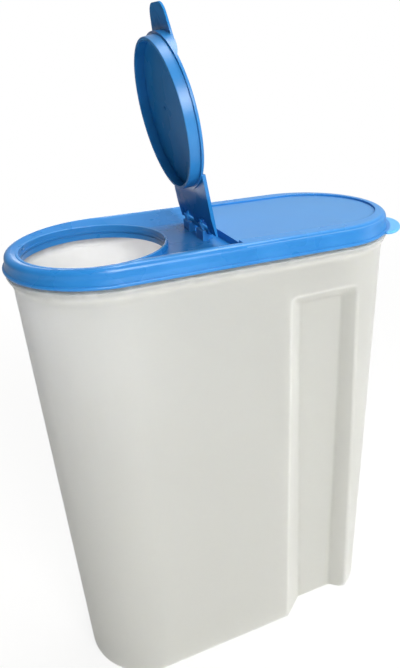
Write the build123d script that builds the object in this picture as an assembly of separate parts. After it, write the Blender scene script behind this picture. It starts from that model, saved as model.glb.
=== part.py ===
from build123d import *
import os
from math import cos, hypot, radians, sin, sqrt

os.makedirs("parts", exist_ok=True)

# Cereal container with a flip spout: tub, press-on lid, flip cap.
# Millimetres. +X runs to the rear (grip end), -X to the pour end, +Z up,
# origin at the centre of the base.

# ---- lid, outside ----
LID_LENGTH = 245.0
LID_WIDTH = 111.0
LID_SEAT_Z = 307.6          # underside of the lid's lip
LID_RISE = 11.2             # lip underside to the top of the rim bead
LIP_THICK = 2.1
SKIRT_INSET = 1.3           # lip edge to the foot of the side wall
SKIRT_LEAN = 0.9            # side wall leans in by this much over its height
FLARE_FOOT = 1.0            # lip edge to the foot of the flare
FLARE_TALL = 3.0            # wall turns out into the lip over this height
FLARE_ROUND = 6.0
BEAD_ROUND = 3.8
BEAD_END = 8.0              # lip edge to the deck, at the rounded ends
BEAD_SIDE = 13.0            # lip edge to the deck, along the sides
DECK_DROP = 1.5             # rear deck below the bead
FLOOR_DROP = 5.7            # hinge floor below the bead
FLOOR_HALF = 30.0           # half width of the flat hinge floor
SLOPE_END = 7.5             # lip edge to where the floor's banks reach the bead
STEP_BEHIND = 7.9           # front face of the raised deck, behind the pin axis
LID_SKIN = 1.8
# ---- pour opening ----
OPENING_TO_END = 51.0       # its middle, from the lid's front end
COLLAR_BORE = 41.2          # radius
COLLAR_WIDE = 1.6           # collar ring's width
COLLAR_DROP = 2.6           # collar's top below the bead
COLLAR_PROUD = 0.5          # collar's top above the foot of the bank round it
COLLAR_DEEP = 8.2           # height of the collar's wall
BANK_END = 5.2              # lip edge to where the bank would reach the bead's top, at the sides
BANK_NOSE = 0.7             # the same at the front end
BANK_ROUND = 3.0            # where it meets the bead
SEAL_UP = 4.0               # seal ring above the foot of the bore
SEAL_TALL = 1.0
SEAL_PROUD = 0.5
GROOVE_DEEP = 0.5           # groove under the seal ring
GROOVE_TALL = 1.0
# ---- tub ----
WALL_INSET = 3.8            # lip edge to the tub wall, at the lid's seat
DRAFT = 5.0                 # wall leans in by this much from seat to base
WALL = 2.0
BASE_THICK = 2.6
BASE_ROUND = 7.0
BAND_PROUD = 2.7            # ledge band under the lid
BAND_DROP = 1.4             # band's top below the seat
BAND_STEP = 1.1             # seat stands in from the band by this much
BAND_TALL = 1.2
BAND_TAPER = 6.0
SEAT_GAP = 0.35             # between seat and lip
NECK_INSET = 0.5            # tub rim stands in from the lid's channel
NECK_THICK = 2.0
CHANNEL_GAP = 0.4
CHANNEL_TOP = 3.8           # channel's roof below the bead
PLUG_WALL = 1.6
PLUG_REACH = 1.0            # plug wall below the lip
# ---- grip recesses ----
GRIP_TO_END = 51.0          # lid's rear end to the rear of the recess floor, at the top
GRIP_LONG = 40.2            # from there to the recess's front edge on the wall
GRIP_TRAIL = 7.5            # floor grows this much longer towards the base
GRIP_TOP = 281.0
GRIP_DEEP = 8.0             # depth at the top
GRIP_DEEPER = 7.2           # extra depth at the base
GRIP_SLANT = 1.2            # run of its end walls for each mm of depth
GRIP_CORNER = 6.0           # radius of the two upper corners
GRIP_ROUND = 3.0            # where its walls meet its floor
GRIP_EDGE = 3.0             # where it breaks the outer wall
# ---- hinge: two lugs on the lid, each with an open-topped clip ----
PIN_BEHIND = 65.2           # pin axis, behind the middle of the opening
PIN_RISE = 5.9              # pin axis above the hinge floor
PIN_R = 1.7
PIN_PLAY = 0.08             # running clearance on the radius
LUG_NEAR = 6.2              # inner end of each lug, from the middle
LUG_FAR = 17.0
LUG_AHEAD = 4.0             # lug's front face ahead of the pin axis
LUG_THICK = 3.4
LUG_RISE = 6.0              # above the hinge floor
CLIP_NEAR = 11.5            # inner end of each clip, from the middle
CLIP_LONG = 2.5
CLIP_WALL = 1.4
CLIP_MOUTH = 3.0
CLIP_RISE = 4.6             # front jaw above the pin axis
CLIP_BACK = 2.4             # rear jaw above the pin axis
CLIP_FLARE = 1.4
CLIP_LIP = 1.0
# ---- flip cap, drawn closed and then swung open ----
CAP_OPEN = 81.0             # degrees from closed
CAP_GAP = 0.4               # cap flange above the collar
CAP_FLANGE = 0.8            # flange past the collar's bore
CAP_THICK = 1.6
PLUG_PLAY = 0.5
PLUG_TAPER = 0.5
PLUG_DEEP = 5.85
PLUG_SKIN = 1.7
ARM_HALF = 29.0
ARM_UNDER = 1.35            # underside of the arm below the pin axis
ARM_OVER = 0.65             # its top above the pin axis
ARM_TAPER = 9.0             # length over which it thins towards the pin
ARM_LAP = 12.0              # arm runs this far over the disc
EAR_GAP = 1.0               # between lug and arm, at each side
EAR_HOLD = 2.0              # pin runs this far into each ear
WINDOW_GAP = 0.6            # ahead of lug and clip
HUMP_RUN = 11.6             # thumb hump, back from the disc's front
HUMP_RISE = 3.8             # above the disc
TAB_THICK = 1.3
TAB_SINK = 0.9              # underside of the tab below the hump's crest
TAB_ROOT = 32.0
TAB_TIP = 21.5
TAB_LONG = 12.6             # past the disc
TAB_ROUND = 8.0
GATE_R = 0.9                # moulding gate inside the plug
GATE_TALL = 0.4
GATE_X = -2.6
GATE_Y = 8.5
# ---- pull tab on the lid's lip ----
PULL_ANGLE = -33.0
PULL_HALF = 18.0
PULL_LONG = 7.5
# ---- moulded edges, and how solids are cut and joined ----
SOFT_EDGE = 0.7             # broken outer edges
SOFT_LIP = 0.8
SOFT_TAB = 0.4
FLOOR_ROUND = 4.0           # where the hinge floor turns up into its banks
BAND_ROUND = 9.0            # where the tub's wall turns out into its band
SINK = 0.6                  # joined pieces reach this far into each other
PAST = 5.0                  # cutters run this far past a face
PICK = 0.5                  # how near an edge lies to the place it is picked by

LID_TOP = LID_SEAT_Z + LID_RISE
DECK_Z = LID_TOP - DECK_DROP
FLOOR_Z = LID_TOP - FLOOR_DROP
COLLAR_Z = LID_TOP - COLLAR_DROP
PIN_Z = FLOOR_Z + PIN_RISE
CAP_Z = COLLAR_Z + CAP_GAP
CAP_R = COLLAR_BORE + CAP_FLANGE
NECK_OUT = WALL_INSET + NECK_INSET
NECK_IN = NECK_OUT + NECK_THICK
PLUG_OUT = NECK_IN + CHANNEL_GAP
PLUG_IN = PLUG_OUT + PLUG_WALL
LID_ARC_X = (LID_LENGTH - LID_WIDTH) / 2
PIN_BORE = PIN_R + PIN_PLAY
CLIP_OUT = PIN_BORE + CLIP_WALL
OPENING_X = OPENING_TO_END - LID_LENGTH / 2
SLOPE_HALF = LID_WIDTH / 2 - SLOPE_END
BANK_R = min(LID_WIDTH / 2 - BANK_END, OPENING_TO_END - BANK_NOSE)
PIN_X = OPENING_X + PIN_BEHIND
STEP_X = PIN_X + STEP_BEHIND
GRIP_REAR = LID_LENGTH / 2 - GRIP_TO_END
GRIP_FRONT = GRIP_REAR - GRIP_LONG
WINDOW_NEAR = LUG_NEAR - EAR_GAP
WINDOW_FAR = LUG_FAR + EAR_GAP


def outline(inset, z):
    """Lid outline pulled in by inset, lying at height z."""
    return Pos(0, 0, z) * SlotOverall(LID_LENGTH - 2 * inset, LID_WIDTH - 2 * inset)


def prism(inset, low, high):
    return extrude(outline(inset, low), high - low)


def ring(inset_out, inset_in, low, high):
    return prism(inset_out, low, high) - prism(inset_in, low - PAST, high + PAST)


def disc(x, radius, low, high):
    return Pos(x, 0, (low + high) / 2) * Cylinder(radius, high - low)


def block(x0, x1, y0, y1, z0, z1):
    return Pos((x0 + x1) / 2, (y0 + y1) / 2, (z0 + z1) / 2) * Box(x1 - x0, y1 - y0, z1 - z0)


def wall_inset(z):
    """Inset of the tub's outer wall at height z."""
    return WALL_INSET + DRAFT * (1 - z / LID_SEAT_Z)


def grip_section(z, depth, rear, grow):
    """Plan of the near recess: floor at depth, its end walls slanting outwards."""
    half = LID_WIDTH / 2 - wall_inset(z)
    floor = depth + grow
    out = LID_WIDTH
    front = GRIP_FRONT + GRIP_SLANT * depth
    ease = grow * (sqrt(1 + GRIP_SLANT**2) - GRIP_SLANT)
    run = GRIP_SLANT * (floor + out - half)
    points = [
        (front - ease - run, -out),
        (front - ease, floor - half),
        (rear + ease, floor - half),
        (rear + ease + run, -out),
    ]
    return Pos(0, 0, z) * make_face(Polyline(*points, close=True))


def grip_cutter(grow):
    """Recess on the near side, open through the base, under a roof at 45 degrees."""
    low = -2 * PAST
    low_depth = GRIP_DEEP + GRIP_DEEPER * (1 - low / GRIP_TOP)
    low_rear = GRIP_REAR + GRIP_TRAIL * (1 - low / GRIP_TOP)
    lift = grow * (sqrt(2) - 1)
    shoulder = GRIP_TOP - GRIP_DEEP
    foot = grip_section(low, low_depth, low_rear, grow)
    neck = grip_section(shoulder + lift, GRIP_DEEP, GRIP_REAR, grow)
    roof_rear = GRIP_REAR + GRIP_SLANT * (GRIP_DEEP + PAST)
    roof = grip_section(GRIP_TOP + PAST + lift, -PAST, roof_rear, grow)
    cutter = loft([foot, neck], ruled=True) + loft([neck, roof], ruled=True)
    face_y = grow + GRIP_DEEP - LID_WIDTH / 2 + wall_inset(shoulder)
    corners = [
        e for e in cutter.edges()
        if min((e @ 0).Z, (e @ 1).Z) > shoulder - PICK and abs((e @ 0).Z - (e @ 1).Z) > PICK
        and max((e @ 0).Y, (e @ 1).Y) > face_y - PICK
    ]
    cutter = fillet(corners, GRIP_CORNER)
    floor = cutter.faces().sort_by(Axis.Y)[-1]
    return fillet([e for e in floor.edges() if e.center().Z > 0], GRIP_ROUND)


def tub_body():
    """Drafted outer body with a rounded foot and both grip recesses."""
    low = outline(wall_inset(0), 0)
    high = outline(wall_inset(LID_SEAT_Z), LID_SEAT_Z - SEAT_GAP)
    body = loft([low, high], ruled=True)
    body = fillet(body.edges().group_by(Axis.Z)[0], BASE_ROUND)
    near = grip_cutter(0)
    far = mirror(near, about=Plane.XZ)
    cut = body - near - far
    return fillet(new_edges(body, near, far, combined=cut), GRIP_EDGE)


def tub_cavity():
    low = outline(wall_inset(BASE_THICK) + WALL, BASE_THICK)
    high = outline(wall_inset(LID_SEAT_Z) + WALL, LID_SEAT_Z)
    cavity = loft([low, high], ruled=True)
    cavity = fillet(cavity.edges().group_by(Axis.Z)[0], BASE_ROUND - WALL)
    near = grip_cutter(WALL)
    return cavity - near - mirror(near, about=Plane.XZ)


def make_tub():
    seat = LID_SEAT_Z - SEAT_GAP
    band_low = seat - BAND_DROP - BAND_TALL
    band_in = WALL_INSET - BAND_PROUD
    taper = loft(
        [
            outline(wall_inset(band_low - BAND_TAPER), band_low - BAND_TAPER),
            outline(band_in, band_low),
        ],
        ruled=True,
    )
    band = prism(band_in, band_low, seat - BAND_DROP)
    band = fillet(band.edges().group_by(Axis.Z)[-1], SOFT_TAB)
    neck_top = LID_TOP - CHANNEL_TOP - CHANNEL_GAP
    neck = prism(NECK_OUT, band_low, neck_top)
    neck = fillet(neck.edges().group_by(Axis.Z)[-1], SOFT_EDGE)
    tub = tub_body() + taper + band + prism(band_in + BAND_STEP, band_low, seat) + neck
    turn = [e for e in tub.edges() if abs(e.center().Z - band_low + BAND_TAPER) < PICK]
    tub = fillet(turn, BAND_ROUND)
    return tub - tub_cavity() - prism(NECK_IN, band_low, neck_top + PAST)


def lid_block():
    """Outside of the lid: side wall, lip, pull tab and rounded bead."""
    wall = loft(
        [outline(SKIRT_INSET, LID_SEAT_Z), outline(SKIRT_INSET + SKIRT_LEAN, LID_TOP)],
        ruled=True,
    )
    wall = fillet(wall.edges().group_by(Axis.Z)[-1], BEAD_ROUND)
    foot, top = LID_SEAT_Z + LIP_THICK, LID_SEAT_Z + LIP_THICK + FLARE_TALL
    met = SKIRT_INSET + SKIRT_LEAN * (top - LID_SEAT_Z) / LID_RISE
    wall = wall + loft([outline(FLARE_FOOT, foot), outline(met, top)], ruled=True)
    wall = fillet([e for e in wall.edges() if abs(e.center().Z - top) < PICK], FLARE_ROUND)
    pull_r = LID_WIDTH / 2 - WALL
    turn = radians(PULL_ANGLE)
    spot = Pos(LID_ARC_X + pull_r * cos(turn), pull_r * sin(turn), LID_SEAT_Z)
    pull = extrude(spot * Rot(0, 0, PULL_ANGLE) * Ellipse(PULL_LONG + WALL, PULL_HALF), LIP_THICK)
    lip = prism(0, LID_SEAT_Z, LID_SEAT_Z + LIP_THICK) + pull
    lip = fillet(lip.edges(), SOFT_LIP)
    return wall + lip


def deck_cut():
    """Clears the shallow pan over the rear deck."""
    pan = Pos(0, 0, DECK_Z) * SlotOverall(LID_LENGTH - 2 * BEAD_END, LID_WIDTH - 2 * BEAD_SIDE)
    pan = extrude(pan, LID_RISE)
    return pan & block(STEP_X, LID_LENGTH, -LID_WIDTH, LID_WIDTH, DECK_Z - PAST, LID_TOP + LID_RISE)


def floor_cut():
    """Trough between the opening and the deck, banked up to the bead."""
    rise = LID_TOP - FLOOR_Z
    run = SLOPE_HALF - FLOOR_HALF
    points = [
        (-FLOOR_HALF, FLOOR_Z),
        (FLOOR_HALF, FLOOR_Z),
        (SLOPE_HALF + run, LID_TOP + rise),
        (-SLOPE_HALF - run, LID_TOP + rise),
    ]
    section = Plane.YZ * make_face(Polyline(*points, close=True))
    trough = Pos(OPENING_X, 0, 0) * extrude(section, STEP_X - OPENING_X)
    low = trough.edges().filter_by(Axis.X).group_by(Axis.Z)[0]
    return fillet(low, FLOOR_ROUND)


def opening_cut():
    """Gentle bank from the collar's foot out to the bead, which it lowers round the front end."""
    foot = COLLAR_Z - COLLAR_PROUD
    rise = LID_TOP - foot
    bank = COLLAR_BORE + COLLAR_WIDE - SINK
    return Pos(OPENING_X, 0, foot + rise) * Cone(bank, 2 * BANK_R - bank, 2 * rise)


def collar():
    """Thin ring that stands round the pour opening, its upper edges soft."""
    ring_low, radius = COLLAR_Z - COLLAR_DEEP, COLLAR_BORE + COLLAR_WIDE
    wall = disc(OPENING_X, radius, ring_low, COLLAR_Z) - disc(OPENING_X, COLLAR_BORE, 0, LID_TOP)
    wall = fillet(wall.edges().group_by(Axis.Z)[-1], SOFT_TAB)
    seal_z = ring_low + SEAL_UP
    seal = disc(OPENING_X, COLLAR_BORE + SINK, seal_z, seal_z + SEAL_TALL)
    seal = seal - disc(OPENING_X, COLLAR_BORE - SEAL_PROUD, 0, LID_TOP)
    groove = disc(OPENING_X, COLLAR_BORE + GROOVE_DEEP, seal_z - GROOVE_TALL, seal_z)
    return (wall - groove + seal) & prism(PLUG_IN - SINK, 0, LID_TOP)


def make_lid():
    top = lid_block() - deck_cut() - floor_cut()
    bank = opening_cut()
    lid = top - bank
    crest = [e for e in new_edges(top, bank, combined=lid) if min((e @ 0).Z, (e @ 1).Z) > LID_TOP - PICK]
    lid = fillet(crest, BANK_ROUND)
    # hollow underneath: rear deck, hinge floor, and the channel for the tub rim
    rear = prism(PLUG_IN, LID_SEAT_Z - PAST, DECK_Z - LID_SKIN)
    rear = rear & block(STEP_X + LID_SKIN, LID_LENGTH, -LID_WIDTH, LID_WIDTH, 0, LID_TOP)
    front = prism(PLUG_IN, LID_SEAT_Z - PAST, FLOOR_Z - LID_SKIN)
    channel = ring(WALL_INSET, PLUG_OUT, LID_SEAT_Z - PAST, LID_TOP - CHANNEL_TOP)
    lid = lid - rear - front - channel
    lid = lid + ring(PLUG_OUT, PLUG_IN, LID_SEAT_Z - PLUG_REACH, LID_SEAT_Z + SINK)
    lid = lid - disc(OPENING_X, COLLAR_BORE + COLLAR_WIDE / 2, 0, LID_TOP + PAST) + collar()
    return lid + hinge_lug(1) + hinge_lug(-1)


def side_profile(points):
    """Closed outline in the XZ plane, its points measured from the pin axis."""
    return Pos(PIN_X, 0, PIN_Z) * (Plane.XZ * make_face(Polyline(*points, close=True)))


def pin_rod(radius, low, high):
    return Pos(PIN_X, (low + high) / 2, PIN_Z) * Rot(90, 0, 0) * Cylinder(radius, high - low)


def hinge_lug(side):
    """Front wall of one hinge lug and the flared clip that holds the pin."""
    root = -PIN_RISE - SINK
    front = PIN_X - LUG_AHEAD
    ends = sorted((side * LUG_NEAR, side * LUG_FAR))
    lug = block(front, front + LUG_THICK, *ends, PIN_Z + root, FLOOR_Z + LUG_RISE)
    lug = fillet(lug.edges().group_by(Axis.Z)[-1].filter_by(Axis.Y).sort_by(Axis.X)[0], SOFT_TAB)
    mouth = CLIP_MOUTH / 2
    throat = sqrt(PIN_BORE**2 - mouth**2)
    jaw = side_profile(
        [
            (-CLIP_OUT, root),
            (-CLIP_OUT, throat),
            (-CLIP_OUT - CLIP_FLARE, CLIP_RISE),
            (-CLIP_OUT - CLIP_FLARE + CLIP_LIP, CLIP_RISE),
            (-mouth, throat),
            (mouth, throat),
            (CLIP_OUT - CLIP_LIP, CLIP_BACK),
            (CLIP_OUT, CLIP_BACK),
            (CLIP_OUT, root),
        ]
    )
    middle = side * (CLIP_NEAR + CLIP_LONG / 2)
    clip = Pos(0, middle, 0) * extrude(jaw, CLIP_LONG / 2, both=True)
    return lug + clip - pin_rod(PIN_BORE, ends[0] - PAST, ends[1] + PAST)


def cap_disc():
    """Disc with its hollow plug, drawn closed over the opening."""
    plate = disc(OPENING_X, CAP_R, CAP_Z, CAP_Z + CAP_THICK)
    plate = fillet(plate.edges().group_by(Axis.Z)[-1], SOFT_EDGE)
    outer = COLLAR_BORE - PLUG_PLAY
    inner = outer - PLUG_SKIN
    plug_mid = CAP_Z + (SINK - PLUG_DEEP) / 2
    plug = Pos(OPENING_X, 0, plug_mid) * Cone(outer - PLUG_TAPER, outer, PLUG_DEEP + SINK)
    plug = fillet(plug.edges().group_by(Axis.Z)[0], SOFT_TAB)
    bore_mid = CAP_Z - (PLUG_DEEP + SINK) / 2
    bore = Pos(OPENING_X, 0, bore_mid) * Cone(inner - PLUG_TAPER, inner, PLUG_DEEP + SINK)
    gate = Pos(GATE_X, GATE_Y, 0) * disc(OPENING_X, GATE_R, CAP_Z - GATE_TALL, CAP_Z + GATE_TALL)
    return plate + (plug - bore) + gate


def cap_hump():
    """Raised thumb hump at the disc's front, with the tab on top."""
    front = OPENING_X - CAP_R
    low = CAP_Z + CAP_THICK / 2
    plate = CAP_Z + CAP_THICK
    top = plate + HUMP_RISE
    crest = Spline(
        (front + HUMP_RUN, plate - SOFT_TAB),
        (front + HUMP_RUN * 0.79, plate + HUMP_RISE * 0.34),
        (front + HUMP_RUN * 0.52, plate + HUMP_RISE * 0.7),
        (front - SINK, top),
    )
    back = Polyline((front - SINK, top), (front - SINK, low), (front + HUMP_RUN, low), crest @ 0)
    hump = extrude(Plane.XZ * make_face([crest, back]), CAP_R, both=True)
    hump = hump & disc(OPENING_X, CAP_R, low, top)
    root = front + HUMP_RUN * 0.4
    tip = front - TAB_LONG
    points = [(root, -TAB_ROOT / 2), (root, TAB_ROOT / 2), (tip, TAB_TIP / 2), (tip, -TAB_TIP / 2)]
    plan = make_face(Polyline(*points, close=True))
    plan = fillet(plan.vertices().group_by(Axis.X)[0], TAB_ROUND)
    tab = extrude(Pos(0, 0, top - TAB_SINK) * plan, TAB_THICK)
    tab = fillet(tab.edges().group_by(Axis.Z)[-1], SOFT_TAB)
    return hump + tab


def cap_arm():
    """Wide flat arm that thins towards the pin, with a window for each lug."""
    start = OPENING_X + CAP_R - ARM_LAP - PIN_X
    profile = side_profile(
        [
            (start, -ARM_UNDER),
            (-ARM_TAPER, -ARM_UNDER),
            (0, -ARM_OVER),
            (0, ARM_OVER),
            (start, ARM_OVER),
        ]
    )
    arm = extrude(profile, ARM_HALF, both=True) + pin_rod(ARM_OVER, -ARM_HALF, ARM_HALF)
    ahead = CLIP_OUT + CLIP_FLARE + WINDOW_GAP
    sweep = hypot(CLIP_OUT + CLIP_FLARE, CLIP_RISE) + WINDOW_GAP
    behind, low, high = PIN_X + 2 * PAST, PIN_Z - PAST, PIN_Z + PAST
    for side in (-1, 1):
        ends = sorted((side * WINDOW_NEAR, side * WINDOW_FAR))
        arm = arm - block(PIN_X - ahead, behind, *ends, low, high)
        relief = sorted((side * (CLIP_NEAR - WINDOW_GAP), side * (CLIP_NEAR + CLIP_LONG + WINDOW_GAP)))
        arm = arm - block(PIN_X - sweep, behind, *relief, low, high)
    return arm + pin_rod(PIN_R, -WINDOW_FAR - EAR_HOLD, WINDOW_FAR + EAR_HOLD)


def make_flip_cap():
    cap = cap_disc() + cap_hump() + cap_arm()
    return cap.rotate(Axis((PIN_X, 0, PIN_Z), (0, 1, 0)), CAP_OPEN)


for name, make in (("tub", make_tub), ("lid", make_lid), ("flip_cap", make_flip_cap)):
    solid = make()
    solid.label = name
    export_step(solid, f"parts/{name}.step")
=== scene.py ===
"""Looks of the cereal container: milky tub, soft blue lid and flip cap, on a plain pale floor."""

import math

import bpy
from mathutils import Euler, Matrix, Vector

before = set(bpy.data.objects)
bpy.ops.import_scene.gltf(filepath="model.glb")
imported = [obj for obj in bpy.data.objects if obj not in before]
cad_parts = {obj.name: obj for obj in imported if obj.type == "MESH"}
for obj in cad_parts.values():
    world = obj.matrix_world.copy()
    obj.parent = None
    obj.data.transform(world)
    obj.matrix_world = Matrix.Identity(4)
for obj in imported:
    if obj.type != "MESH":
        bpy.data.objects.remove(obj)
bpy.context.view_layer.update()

MM = 0.001

# ---------------------------------------------------------------- places on the solids at rest

SEAT_Z = 307.6 * MM  # underside of the lid's lip
DECK_Z = 317.3 * MM
DECK_FRONT = 1.6 * MM  # where the raised deck begins
BEAD_Z = 318.8 * MM  # top of the lid's bead
COLLAR_Z = 316.2 * MM  # top of the ring round the opening
COLLAR_R = 43.0 * MM
OPENING_X = -71.5 * MM
END_X = 66.75 * MM  # middle of the lid's rounded rear end
END_R = 56.0 * MM  # only the pull tab reaches further out from there
CAP_MIDDLE = (-18.9 * MM, 0.0, 383.0 * MM)  # middle of the open cap's disc
CAP_TILT = math.radians(9)  # how far the disc's axis points up
PLUG_R = 39.6 * MM  # just inside the outer face of the plug ring

# ---------------------------------------------------------------- where a finish fades in
# A mask is 0 at a pair's first number and 1 at its second.

# painted light from the floor: the milk pales towards the tub's foot
FOOT_LIGHT_Z = (130 * MM, 0.0)
NOSE_SHADE_X = (-75 * MM, -115 * MM)  # the tub's rounded end under the opening, whose upper part gets painted shade
NOSE_SHADE_Z = (120 * MM, 280 * MM)
RECESS_Y = (49 * MM, 45 * MM)  # the grip recess, from the tub's side to the recess's floor; painted light brightens it
RECESS_Z = (288 * MM, 278 * MM)
RECESS_FRONT = (28 * MM, 32 * MM)
RECESS_REAR = (76 * MM, 72 * MM)
BAND_SHADE_Z = (SEAT_Z - 8 * MM, SEAT_Z - 3.5 * MM)  # the tub's rim band, darkened with painted shade
LIP_SHADOW_Z = (SEAT_Z - 2.5 * MM, SEAT_Z - 1.5 * MM)  # the band's top, close under the lip, where a painted shadow line lies
# keeps the painted shade of band and strip below the lid's seat
UNDER_NECK = (SEAT_Z + 0.4 * MM, SEAT_Z)
DECK_NEAR = (0.35 * MM, 0.15 * MM)  # height above or below the deck
DECK_X = (DECK_FRONT, DECK_FRONT + 0.5 * MM)
# where the pull tab gets painted light
PULL_R = (END_R, END_R + 1.5 * MM)
PULL_X = (END_X, END_X + 5 * MM)
# where painted highlights lie on the bead's crest and the collar's ring
CREST_HIGHLIGHT_Z = (BEAD_Z - 0.9 * MM, BEAD_Z - 0.1 * MM)
RING_HIGHLIGHT_R = (COLLAR_R + 0.4 * MM, COLLAR_R)
RING_HIGHLIGHT_Z = (COLLAR_Z - 0.5 * MM, COLLAR_Z)
GLOSS_R = (PLUG_R, PLUG_R + 0.5 * MM)
GLOSS_LOW = (338 * MM, 344 * MM)
GLOSS_HIGH = (428 * MM, 423 * MM)
HAZE = (0.35, 0.7)  # these four are values of noise
FLOW = (0.45, 0.75)
MOTTLE = (0.3, 0.7)
SHEEN = (0.3, 0.75)

# ---------------------------------------------------------------- colours and strengths


def colour(red, green, blue):
    return (red, green, blue, 1.0)


MILK = colour(0.968, 0.964, 0.925)
# painted light from the floor, paler at the foot
FOOT_LIGHT_MILK = colour(0.99, 0.985, 0.945)
HAZE_MILK = colour(0.950, 0.946, 0.905)
# painted light in the grip recess
RECESS_LIGHT_MILK = colour(0.995, 0.992, 0.965)
# painted shade on the upper part of the tub's rounded end
NOSE_SHADE_MILK = colour(0.86, 0.86, 0.85)
# painted shade on the tub's rim band
BAND_SHADE_MILK = colour(0.45, 0.46, 0.455)
# painted shadow line close under the lid's lip
LIP_SHADOW_MILK = colour(0.28, 0.31, 0.32)
FLOW_MILK = colour(0.98, 0.98, 0.96)
LID_BLUES = (colour(0.019, 0.196, 0.525), colour(0.028, 0.222, 0.570))
# painted sheen: the matte deck's paler blue
DECK_SHEEN_BLUE = colour(0.15, 0.33, 0.60)
# painted light shining through the thin pull tab
PULL_LIGHT_BLUE = colour(0.12, 0.46, 0.84)
# painted highlight on the bead's crest and the collar's ring
CREST_HIGHLIGHT_BLUE = colour(0.07, 0.32, 0.72)
CAP_BLUES = (colour(0.020, 0.190, 0.485), colour(0.028, 0.215, 0.530))
WHITE = colour(1, 1, 1)
BLACK = colour(0, 0, 0)

# How much of its own colour each of these places takes, where its mask is 1.
HAZE_SHARE = 0.3
FLOW_SHARE = 0.12
# share of the deck's painted sheen
DECK_SHEEN_SHARE = 0.55
# share of the pull tab's painted light
PULL_LIGHT_SHARE = 0.9
# share of the painted highlights
CREST_HIGHLIGHT_SHARE = 0.55

TUB_ROUGH = (0.44, 0.56)
LID_ROUGH = (0.26, 0.33)
CAP_ROUGH = (0.24, 0.33)
DECK_MATTE = 0.32  # added to the lid's roughness on the deck
RING_COAT = 0.9

UPRIGHT = (1.0, 1.0, 0.12)  # draws noise out into upright lines
TALL = (1.0, 1.0, 0.5)


class Value:
    """A shader socket used like a number: sums and products add their own Math nodes."""

    def __init__(self, finish, socket):
        self.finish = finish
        self.socket = socket

    def math(self, operation, *terms):
        return self.finish.add("ShaderNodeMath", {"operation": operation}, dict(enumerate(terms)))

    def __add__(self, other):
        return self.math("ADD", self, other)

    def __radd__(self, other):
        return self.math("ADD", other, self)

    def __sub__(self, other):
        return self.math("SUBTRACT", self, other)

    def __rsub__(self, other):
        return self.math("SUBTRACT", other, self)

    def __mul__(self, other):
        return self.math("MULTIPLY", self, other)

    def __rmul__(self, other):
        return self.math("MULTIPLY", other, self)

    def __pow__(self, other):
        return self.math("POWER", self, other)

    def __abs__(self):
        return self.math("ABSOLUTE", self)


class Finish:
    """One material, or the world's own light, built node by node."""

    def __init__(self, tree):
        self.tree = tree
        self.tree.nodes.clear()

    def add(self, kind, settings=None, inputs=None, output=0):
        """Makes a node, sets it up, fills its sockets, and returns one of its outputs."""
        node = self.tree.nodes.new(kind)
        for key, value in (settings or {}).items():
            setattr(node, key, value)
        for key, value in (inputs or {}).items():
            if isinstance(value, Value):
                self.tree.links.new(value.socket, node.inputs[key])
            else:
                node.inputs[key].default_value = value
        if not len(node.outputs):
            return node
        return Value(self, node.outputs[output])

    def axis(self, vector, number):
        """A vector's x, y or z, as number is 0, 1 or 2."""
        return self.add("ShaderNodeSeparateXYZ", inputs={"Vector": vector}, output=number)

    def place(self):
        """Where a point lies on the object at rest, in metres: whole, and as x, y and z."""
        whole = self.add("ShaderNodeTexCoord", output="Object")
        return whole, self.axis(whole, 0), self.axis(whole, 1), self.axis(whole, 2)

    def measure(self, operation, *vectors):
        """A number worked out from vectors, such as a length or a dot product."""
        settings = {"operation": operation}
        return self.add("ShaderNodeVectorMath", settings, dict(enumerate(vectors)), "Value")

    def ramp(self, value, low, high, out_low=0.0, out_high=1.0):
        """Eases from out_low to out_high as value runs from low to high."""
        return self.add(
            "ShaderNodeMapRange",
            {"interpolation_type": "SMOOTHSTEP"},
            {"Value": value, "From Min": low, "From Max": high, "To Min": out_low, "To Max": out_high},
        )

    def blend(self, share, first, second):
        """Mixes two colours."""
        inputs = {0: share, 6: first, 7: second}
        return self.add("ShaderNodeMix", {"data_type": "RGBA"}, inputs, output=2)

    def stretch(self, vector, scale):
        return self.add("ShaderNodeMapping", inputs={"Vector": vector, "Scale": scale})

    def cloud(self, vector, size, detail=2.0, rough=0.5):
        """Soft noise whose lumps are about size metres across."""
        return self.add(
            "ShaderNodeTexNoise",
            inputs={"Vector": vector, "Scale": 1 / size, "Detail": detail, "Roughness": rough},
        )

    def bump(self, height, deep, under=None):
        """Raises the surface by up to deep metres where height is 1."""
        inputs = {"Height": height, "Distance": deep, "Strength": 1.0}
        if under is not None:
            inputs["Normal"] = under
        return self.add("ShaderNodeBump", inputs=inputs)

    def plastic(self, inputs):
        surface = self.add("ShaderNodeBsdfPrincipled", inputs=inputs)
        self.add("ShaderNodeOutputMaterial", inputs={"Surface": surface})


def material(name):
    made = bpy.data.materials.new(name)
    made.use_nodes = True
    return made, Finish(made.node_tree)


def from_upright(x, y, middle_x):
    """How far a point lies from the upright line through middle_x."""
    return ((x - middle_x) ** 2.0 + y * y) ** 0.5


# ---------------------------------------------------------------- finishes


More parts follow.
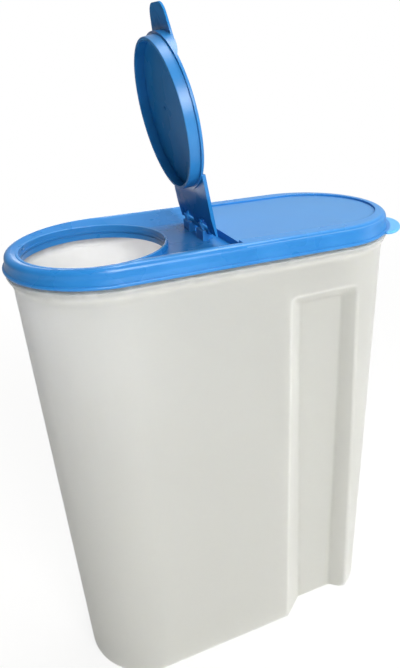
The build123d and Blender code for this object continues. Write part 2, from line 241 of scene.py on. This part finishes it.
def milky_tub():
    """Milky polypropylene that light goes through, with haze, faint flow lines and a satin skin.
    Painted light pales its foot and grip recess; painted shade darkens its upper rounded end and rim
    band, with a painted shadow line under the lid's lip.
    """
    made, finish = material("milky_polypropylene")
    spot, x, y, z = finish.place()
    haze = finish.cloud(spot, 70 * MM, detail=3.0)
    flow = finish.cloud(finish.stretch(spot, UPRIGHT), 9 * MM)
    # painted light in the grip recess
    recess_light = finish.ramp(abs(y), *RECESS_Y) * finish.ramp(z, *RECESS_Z)
    recess_light = recess_light * finish.ramp(x, *RECESS_FRONT) * finish.ramp(x, *RECESS_REAR)
    # painted shade on the upper part of the tub's rounded end
    nose_shade = finish.ramp(x, *NOSE_SHADE_X) * finish.ramp(z, *NOSE_SHADE_Z)
    under_neck = finish.ramp(z, *UNDER_NECK)
    # painted light from the floor: paler towards the foot
    milk = finish.blend(finish.ramp(z, *FOOT_LIGHT_Z), MILK, FOOT_LIGHT_MILK)
    milk = finish.blend(finish.ramp(haze, *HAZE, out_high=HAZE_SHARE), milk, HAZE_MILK)
    milk = finish.blend(recess_light, milk, RECESS_LIGHT_MILK)
    milk = finish.blend(nose_shade, milk, NOSE_SHADE_MILK)
    # painted shade on the rim band, kept below the lid's seat
    milk = finish.blend(finish.ramp(z, *BAND_SHADE_Z) * under_neck, milk, BAND_SHADE_MILK)
    # painted shadow line close under the lid's lip
    milk = finish.blend(finish.ramp(z, *LIP_SHADOW_Z) * under_neck, milk, LIP_SHADOW_MILK)
    milk = finish.blend(finish.ramp(flow, *FLOW, out_high=FLOW_SHARE), milk, FLOW_MILK)
    grain = finish.cloud(spot, 0.45 * MM, rough=0.6)
    wave = finish.cloud(finish.stretch(spot, TALL), 45 * MM, detail=1.0)
    finish.plastic(
        {
            "Base Color": milk,
            "Roughness": finish.ramp(haze, *SHEEN, *TUB_ROUGH),
            "IOR": 1.49,
            "Subsurface Weight": 1.0,
            "Subsurface Radius": (1.0, 1.0, 1.12),
            "Subsurface Scale": 0.022,
            "Specular IOR Level": 0.22,
            "Normal": finish.bump(grain, 0.012 * MM, under=finish.bump(wave, 0.5 * MM)),
        }
    )
    return made


def soft_blue_lid():
    """Soft blue polyethylene: satin sides, a matte grained deck, painted highlights on the crests and
    the collar's ring, painted light on the pull tab, and a painted paler sheen on the deck.
    """
    made, finish = material("soft_blue_polyethylene")
    spot, x, y, z = finish.place()
    mottle = finish.cloud(spot, 30 * MM, detail=3.0)
    deck = finish.ramp(abs(z - DECK_Z), *DECK_NEAR) * finish.ramp(x, *DECK_X)
    # painted light shining through the thin pull tab
    pull_light = finish.ramp(from_upright(x, y, END_X), *PULL_R, out_high=PULL_LIGHT_SHARE)
    pull_light = pull_light * finish.ramp(x, *PULL_X)
    # painted highlights on the bead's crest and on the collar's ring round the opening
    ring = finish.ramp(from_upright(x, y, OPENING_X), *RING_HIGHLIGHT_R) * finish.ramp(z, *RING_HIGHLIGHT_Z)
    crest_highlight = finish.ramp(z, *CREST_HIGHLIGHT_Z) + ring
    blue = finish.blend(finish.ramp(mottle, *MOTTLE), *LID_BLUES)
    # painted sheen pales the deck's blue; its matte roughness and grain are real
    blue = finish.blend(deck * DECK_SHEEN_SHARE, blue, DECK_SHEEN_BLUE)
    blue = finish.blend(pull_light, blue, PULL_LIGHT_BLUE)
    blue = finish.blend(crest_highlight * CREST_HIGHLIGHT_SHARE, blue, CREST_HIGHLIGHT_BLUE)
    grain = finish.cloud(spot, 0.5 * MM, rough=0.7)
    grain_depth = 0.03 * MM * deck + 0.006 * MM
    wave = finish.cloud(spot, 25 * MM, detail=1.0)
    finish.plastic(
        {
            "Base Color": blue,
            "Roughness": finish.ramp(mottle, *SHEEN, *LID_ROUGH) + DECK_MATTE * deck,
            "IOR": 1.5,
            "Specular IOR Level": 0.36,
            "Subsurface Weight": 0.15,
            "Subsurface Radius": (0.3, 0.6, 1.0),
            "Subsurface Scale": 0.002,
            "Normal": finish.bump(grain, grain_depth, under=finish.bump(wave, 0.15 * MM)),
        }
    )
    return made


def outside_of_ring(finish, spot, z):
    """1 on the outside of the open cap's ring, 0 within the ring and on the tab and the arm."""
    offset = finish.add("ShaderNodeVectorMath", {"operation": "SUBTRACT"}, {0: spot, 1: CAP_MIDDLE})
    along = finish.measure("DOT_PRODUCT", offset, (math.cos(CAP_TILT), 0.0, math.sin(CAP_TILT)))
    length = finish.measure("LENGTH", offset)
    ring = finish.ramp((length * length - along * along) ** 0.5, *GLOSS_R)
    return ring * finish.ramp(z, *GLOSS_LOW) * finish.ramp(z, *GLOSS_HIGH)


def glossy_blue_cap():
    """The flip cap's blue: satin, and glossy on the outside of the plug ring."""
    made, finish = material("semi_gloss_blue")
    spot, _, _, z = finish.place()
    mottle = finish.cloud(spot, 25 * MM, detail=3.0)
    grain = finish.cloud(spot, 0.6 * MM, rough=0.6)
    wave = finish.cloud(spot, 18 * MM, detail=1.0)
    finish.plastic(
        {
            "Base Color": finish.blend(finish.ramp(mottle, *MOTTLE), *CAP_BLUES),
            "Roughness": finish.ramp(mottle, *SHEEN, *CAP_ROUGH),
            "IOR": 1.5,
            "Specular IOR Level": 0.01,
            "Coat Weight": outside_of_ring(finish, spot, z) * RING_COAT,
            "Coat Roughness": 0.34,
            "Coat IOR": 1.5,
            "Subsurface Weight": 0.1,
            "Subsurface Radius": (0.3, 0.6, 1.0),
            "Subsurface Scale": 0.002,
            "Normal": finish.bump(grain, 0.006 * MM, under=finish.bump(wave, 0.12 * MM)),
        }
    )
    return made


def dress(node, made):
    """Gives a solid its finish."""
    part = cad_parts[node]
    part.data.materials.clear()
    part.data.materials.append(made)


# ---------------------------------------------------------------- studio

ROOM_GLOW = 0.56
ROOM_TONE = colour(1.0, 0.99, 0.97)
GLOW_SIDES = (-0.8, 0.6, 0.12, 1.0)  # from far left to right, the glow grows from 0.12 to 1
MIRRORED = 0.1  # how much of the white a satin surface mirrors
FLOOR_SIZE = 12.0
FLOOR_GREY = colour(0.90, 0.90, 0.88)
FLOOR_WHITE = (0.2, 1.2, 0.8, 1.0)  # 0.2 to 1.2 m away, the share of white grows from 0.8 to 1

# The camera, solved on the photograph's outlines.
CAMERA_SPOT = (-0.130734, -0.343992, 0.416645)
CAMERA_TURN = (63.5591, 1.5414, -24.8971)  # degrees
CAMERA_LENS = 32.542  # millimetres, on a sensor 36 wide
CAMERA_SHIFT = (-0.0698, 0.01635)


def seen_white(finish):
    """1 for what the camera sees, straight or through something; little for a reflection; else 0."""
    straight, gloss, through = [
        finish.add("ShaderNodeLightPath", output=f"Is {kind} Ray")
        for kind in ("Camera", "Glossy", "Transmission")
    ]
    return finish.add("ShaderNodeClamp", inputs={"Value": straight + through + MIRRORED * gloss})


def room():
    """Dim light all round, fading towards the left, which the camera sees as plain white."""
    world = bpy.data.worlds.new("room")
    world.use_nodes = True
    bpy.context.scene.world = world
    finish = Finish(world.node_tree)
    rightward = finish.axis(finish.add("ShaderNodeTexCoord", output="Generated"), 0)
    tone = finish.blend(finish.ramp(rightward, *GLOW_SIDES), BLACK, ROOM_TONE)
    glow = finish.add("ShaderNodeBackground", inputs={"Color": tone, "Strength": ROOM_GLOW})
    white = finish.add("ShaderNodeBackground", inputs={"Color": WHITE, "Strength": 1.0})
    both = finish.add("ShaderNodeMixShader", inputs={0: seen_white(finish), 1: glow, 2: white})
    finish.add("ShaderNodeOutputWorld", inputs={"Surface": both})


def floor():
    """Plain pale floor that keeps a faint shadow and turns white with distance."""
    bpy.ops.mesh.primitive_plane_add(size=FLOOR_SIZE)
    plane = bpy.context.object
    plane.name = "floor"
    made, finish = material("pale_floor")
    away = finish.measure("LENGTH", finish.add("ShaderNodeTexCoord", output="Object"))
    share = seen_white(finish) * finish.ramp(away, *FLOOR_WHITE)
    matt = finish.add("ShaderNodeBsdfDiffuse", inputs={"Color": FLOOR_GREY})
    white = finish.add("ShaderNodeEmission", inputs={"Color": WHITE, "Strength": 1.0})
    both = finish.add("ShaderNodeMixShader", inputs={0: share, 1: matt, 2: white})
    finish.add("ShaderNodeOutputMaterial", inputs={"Surface": both})
    plane.data.materials.append(made)


def lamp(name, spot, aim, size, power):
    """A round soft lamp, size metres across and power watts strong, turned towards aim."""
    light = bpy.data.lights.new(name, "AREA")
    light.shape = "DISK"
    light.size = size
    light.energy = power
    holder = bpy.data.objects.new(name, light)
    holder.location = spot
    holder.rotation_euler = (Vector(aim) - Vector(spot)).to_track_quat("-Z", "Y").to_euler()
    bpy.context.scene.collection.objects.link(holder)


def camera():
    """Stands where the photograph was taken from."""
    lens = bpy.data.cameras.new("camera")
    lens.sensor_width = 36
    lens.lens = CAMERA_LENS
    lens.shift_x, lens.shift_y = CAMERA_SHIFT
    holder = bpy.data.objects.new("camera", lens)
    holder.location = CAMERA_SPOT
    holder.rotation_euler = Euler([math.radians(angle) for angle in CAMERA_TURN])
    bpy.context.scene.collection.objects.link(holder)
    bpy.context.scene.camera = holder


dress("tub", milky_tub())
dress("lid", soft_blue_lid())
dress("flip_cap", glossy_blue_cap())
room()
floor()
lamp("key", spot=(0.05, -1.28, 0.95), aim=(0, 0, 0.2), size=0.7, power=19)
lamp("top", spot=(0.25, 0.2, 1.4), aim=(0, 0, 0.3), size=0.6, power=8)
lamp("back", spot=(0.15, 1.1, 0.12), aim=(0, 0, 0.12), size=0.7, power=5)
lamp("right", spot=(1.2, -0.45, 0.35), aim=(0, 0, 0.15), size=0.7, power=1.5)
camera()
bpy.context.scene.view_settings.view_transform = "Standard"
